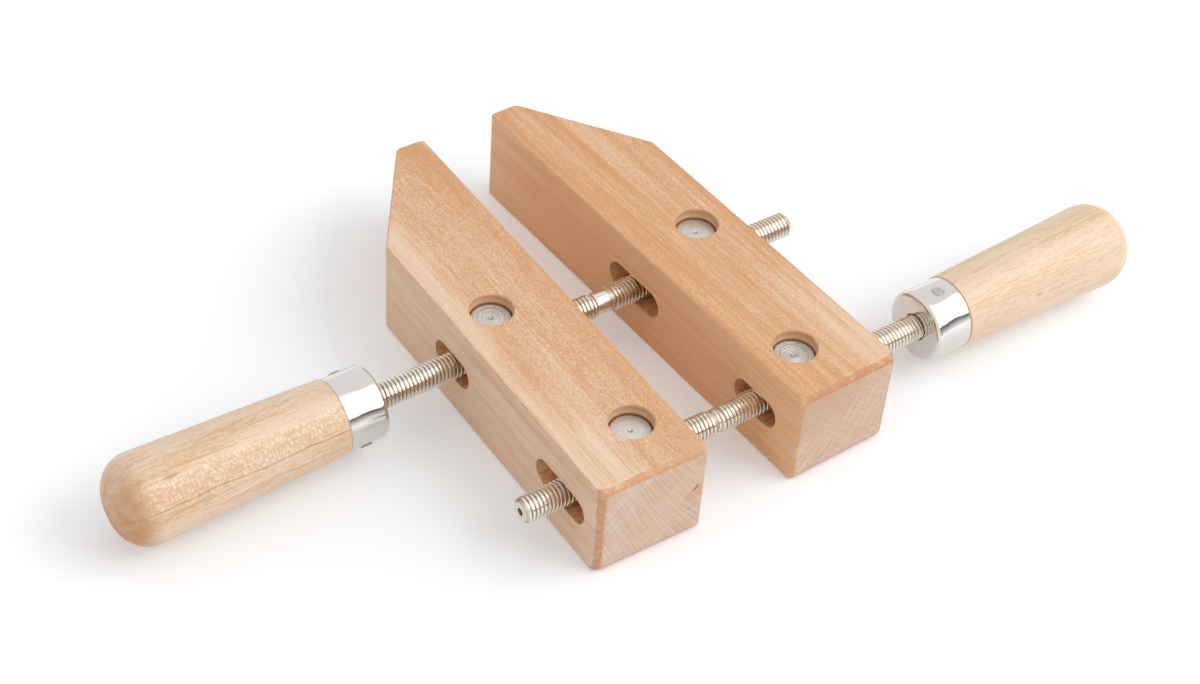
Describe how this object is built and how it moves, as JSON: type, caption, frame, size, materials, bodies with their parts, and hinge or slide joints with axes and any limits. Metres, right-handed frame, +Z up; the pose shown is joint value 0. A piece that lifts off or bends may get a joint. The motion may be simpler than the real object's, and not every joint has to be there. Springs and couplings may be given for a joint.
{
  "type": "handscrew clamp",
  "caption": "Wooden handscrew clamp: tapered maple jaws drawn together by double-threaded steel spindles with turned wooden handles and metal ferrules.",
  "frame": {"origin": "centre of the bounding box, on the table plane under the jaws", "axes": "+X along the spindles towards the end handle, +Y along the jaws towards the noses, +Z up"},
  "size_m": [0.3144, 0.1526, 0.0317],
  "materials": {
    "jaw_wood": "oiled maple",
    "handle_wood": "lacquered maple",
    "nut_steel": "turned steel",
    "spindle_steel": "plated thread",
    "ferrule_nickel": "bright nickel",
    "rivet_steel": "flush steel pin"
  },
  "bodies": {
    "left_jaw": {"left_jaw": "jaw_wood"},
    "right_jaw": {"right_jaw": "jaw_wood"},
    "left_middle_nut": {"left_middle_nut": "nut_steel"},
    "left_end_nut": {"left_end_nut": "nut_steel"},
    "right_middle_nut": {"right_middle_nut": "nut_steel"},
    "right_end_nut": {"right_end_nut": "nut_steel"},
    "middle_screw": {"middle_spindle": "spindle_steel", "middle_ferrule": "ferrule_nickel", "middle_handle": "handle_wood", "middle_rivet": "rivet_steel"},
    "end_screw": {"end_spindle": "spindle_steel", "end_ferrule": "ferrule_nickel", "end_handle": "handle_wood", "end_rivet": "rivet_steel"}
  },
  "joints": [
    {"name": "jaw_travel", "type": "slide", "parent": "left_end_nut", "child": "right_end_nut", "axis": [1, 0, 0], "range_m": [-0.0243, 0.0172]},
    {"name": "middle_spindle_turn", "type": "hinge", "parent": "left_middle_nut", "child": "middle_screw", "pos_m": [0, 0.00046, 0.01588], "axis": [-1, 0, 0], "range_deg": [-3444.5, 2438.5]},
    {"name": "end_spindle_turn", "type": "hinge", "parent": "right_end_nut", "child": "end_screw", "pos_m": [0, -0.05692, 0.01588], "axis": [-1, 0, 0], "range_deg": [-3444.5, 2438.5]},
    {"name": "jaw_angle", "type": "hinge", "parent": "right_end_nut", "child": "right_jaw", "pos_m": [0.0285, -0.05692, 0.01588], "axis": [0, 0, -1], "range_deg": [0, 5.5]},
    {"name": "left_end_nut_swivel", "type": "hinge", "parent": "left_jaw", "child": "left_end_nut", "pos_m": [-0.0285, -0.05692, 0.01588], "axis": [0, 0, -1], "range_deg": [0, 5.5]},
    {"name": "left_middle_nut_swivel", "type": "hinge", "parent": "left_jaw", "child": "left_middle_nut", "pos_m": [-0.03651, 0.00046, 0.01588], "axis": [0, 0, -1], "range_deg": [0, 5.5]},
    {"name": "right_middle_nut_swivel", "type": "hinge", "parent": "right_jaw", "child": "right_middle_nut", "pos_m": [0.03651, 0.00046, 0.01588], "axis": [0, 0, 1], "range_deg": [0, 5.5]}
  ],
  "couplings": [
    {"joint": "middle_spindle_turn", "follows": "jaw_travel", "rad_per_m": 2473.7},
    {"joint": "end_spindle_turn", "follows": "jaw_travel", "rad_per_m": 2473.7},
    {"joint": "left_end_nut_swivel", "follows": "jaw_angle", "ratio": 1},
    {"joint": "left_middle_nut_swivel", "follows": "jaw_angle", "ratio": 1},
    {"joint": "right_middle_nut_swivel", "follows": "jaw_angle", "ratio": 1}
  ]
}
